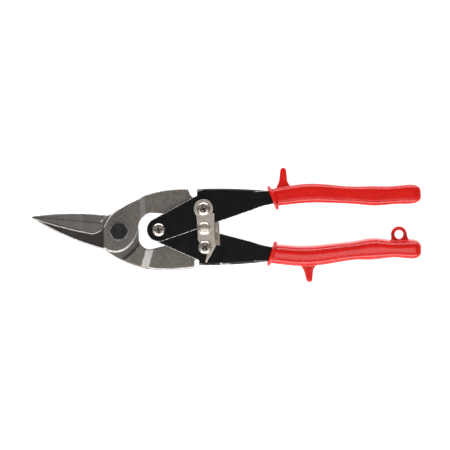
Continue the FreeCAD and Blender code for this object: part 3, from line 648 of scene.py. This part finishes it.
class SNIPS_OT_fasteners(Finisher):
    """Finish the bolt, screws, nuts, washers and bushes"""

    bl_idname = "snips.fasteners"
    bl_label = "Fasteners"

    def finish(self, sizes, colours):
        oxide = black_oxide("black_oxide", colours.oxide)
        plate = nickel("nickel_plate", colours.nickel, rough=0.16)
        # painted shade: the screws' cross recesses are painted with nickel at 0.09 of its brightness
        painted_shade = black_oxide("recess_grime", shade(colours.nickel, 0.09))
        washer = black_oxide("washer_steel", shade(colours.turned, 0.35))
        bush = turned_steel("turned_bush", colours.turned)
        for node, width in (("pivot_nut", 0.3), ("pivot_bolt", 0.3)):
            softened(node, width, (oxide,), angle=25.0)
        softened("pivot_washer", 0.15, (washer,))
        for stem in ("upper", "lower", "centre"):
            self.screw(stem + "_screw", (plate, painted_shade))
            softened(stem + "_nut", 0.15, (plate,), segments=2, angle=25.0)
            softened(stem + "_lock_washer", 0.1, (plate,), segments=2)
            softened(stem + "_bush", 0.12, (bush,), segments=2)

    @staticmethod
    def screw(node, looks):
        """A screw whose cross recess is painted near black, as painted shade."""
        low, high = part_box(node)
        centre = (low + high) / 2
        shape = merged_copy(node)
        round_off(shape, corner_edges(shape, 35.0), 0.1, 2)
        for face in shape.faces:
            off = face.calc_center_median()
            depth = (high.z - off.z) / MM
            # faces inside the cross recess take the painted shade
            if (off - centre).xy.length < RECESS_RADIUS * MM and RECESS_RIM < depth < RECESS_DEPTH:
                face.material_index = 1
        place_piece(node + "_finished", shape, looks, node)


class SNIPS_OT_latch(Finisher):
    """Finish the locking plate and press its thumb dimple"""

    bl_idname = "snips.latch"
    bl_label = "Latch"

    def finish(self, sizes, colours):
        plate = nickel("latch_nickel", colours.nickel, rough=0.3)
        shape = merged_copy("latch")
        self.press_dimple(shape)
        pressed = bpy.data.meshes.new("pressed")
        shape.to_mesh(pressed)
        shape.free()
        shape = cast(pressed, sizes.latch, 2)
        bpy.data.meshes.remove(pressed)
        for vert in shape.verts:
            vert.co -= vert.normal * sizes.play
        place_piece("latch_pressed", shape, (plate,), "latch", smooth=60.0, weighted=False)

    @staticmethod
    def press_dimple(shape):
        """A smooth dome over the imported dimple."""
        at = PIVOT + DIMPLE * MM
        size = Matrix.Diagonal((DIMPLE_RADIUS * MM, DIMPLE_RADIUS * MM, DIMPLE_HEIGHT * MM, 1))
        bmesh.ops.create_uvsphere(shape, u_segments=48, v_segments=24, radius=1.0,
                                  matrix=Matrix.Translation(at) @ size)


class SNIPS_OT_spring(Finisher):
    """Finish both halves of the return spring"""

    bl_idname = "snips.spring"
    bl_label = "Return spring"

    def finish(self, sizes, colours):
        wire = turned_steel("spring_wire", colours.turned, letter="X", spacing=2.0)
        for node in ("return_spring_coil", "return_spring_leg"):
            softened(node, 0.08, (wire,), segments=2, angle=40.0)


# ------------------------------------------------------------------ stage

class SNIPS_OT_stage(Finisher):
    """Set the floor, the lights and the camera"""

    bl_idname = "snips.stage"
    bl_label = "Stage"

    def finish(self, sizes, colours):
        self.floor(colours)
        self.lights()
        self.camera()

    @staticmethod
    def floor(colours):
        look = Look("floor", Roughness=0.7, Emission_Color=(1, 1, 1, 1), Emission_Strength=0.98)
        look.set(Base_Color=look.blend(look.noise(0.004), shade(colours.floor, 0.98), colours.floor))
        shape = bmesh.new()
        bmesh.ops.create_grid(shape, x_segments=1, y_segments=1, size=4.0,
                              matrix=Matrix.Translation((0, 0, cad_low.z - 0.2 * MM)))
        mesh = bpy.data.meshes.new("floor")
        shape.to_mesh(mesh)
        shape.free()
        mesh.materials.append(look.material)
        floor = bpy.data.objects.new("floor", mesh)
        bpy.context.scene.collection.objects.link(floor)

    @staticmethod
    def lights():
        """A long soft box low on each side, a strip almost overhead, and a grey room."""
        for name, y, z, tilt, width, depth, watts in (
                ("far_box", 1.0, 0.34, -71, 1.8, 0.42, 13.0),
                ("near_box", -0.9, 0.52, 60, 1.8, 0.34, 16.0),
                ("top_strip", -0.30, 1.05, 16, 1.6, 0.14, 3.2)):
            lamp = bpy.data.lights.new(name, "AREA")
            lamp.shape, lamp.size, lamp.size_y, lamp.energy = "RECTANGLE", width, depth, watts
            holder = bpy.data.objects.new(name, lamp)
            holder.location = (0.0, y, z)
            holder.rotation_euler = (math.radians(tilt), 0, 0)
            bpy.context.scene.collection.objects.link(holder)
        world = bpy.data.worlds.new("room")
        world.use_nodes = True
        room = world.node_tree.nodes["Background"]
        room.inputs["Color"].default_value = (1.0, 0.98, 0.96, 1)
        room.inputs["Strength"].default_value = 0.22
        bpy.context.scene.world = world

    @staticmethod
    def camera():
        """Straight down on the tool, from far enough to flatten it."""
        lens = bpy.data.cameras.new("camera")
        distance, width = 1.4, 0.2888
        lens.sensor_width = 36.0
        lens.lens = 36.0 * distance / width
        lens.clip_start, lens.clip_end = 0.05, 20
        camera = bpy.data.objects.new("camera", lens)
        camera.location = (-0.8 * MM, 1.7 * MM, 0.010 + distance)
        camera.rotation_euler = (0, 0, math.radians(-2.2))
        scene = bpy.context.scene
        scene.collection.objects.link(camera)
        scene.camera = camera
        scene.view_settings.view_transform = "Standard"


class SNIPS_PT_panel(bpy.types.Panel):
    """Lists the operators and their settings"""

    bl_idname = "SNIPS_PT_panel"
    bl_label = "Aviation snips"
    bl_space_type = "VIEW_3D"
    bl_region_type = "UI"
    bl_category = "Snips"

    def draw(self, context):
        for settings in (context.scene.snips_sizes, context.scene.snips_colours):
            box = self.layout.box()
            for name in settings.__annotations__:
                box.prop(settings, name)
        for operator in OPERATORS:
            self.layout.operator(operator.bl_idname)


OPERATORS = (SNIPS_OT_blades, SNIPS_OT_handles, SNIPS_OT_grips, SNIPS_OT_fasteners, SNIPS_OT_latch,
             SNIPS_OT_spring, SNIPS_OT_stage)
CLASSES = (SnipsSizes, SnipsColours) + OPERATORS + (SNIPS_PT_panel,)


def register():
    for item in CLASSES:
        bpy.utils.register_class(item)
    bpy.types.Scene.snips_sizes = bpy.props.PointerProperty(type=SnipsSizes)
    bpy.types.Scene.snips_colours = bpy.props.PointerProperty(type=SnipsColours)


def unregister():
    del bpy.types.Scene.snips_colours, bpy.types.Scene.snips_sizes
    for item in reversed(CLASSES):
        bpy.utils.unregister_class(item)


def main():
    register()
    for operator in OPERATORS:
        group, name = operator.bl_idname.split(".")
        getattr(getattr(bpy.ops, group), name)()


if __name__ == "__main__":
    main()
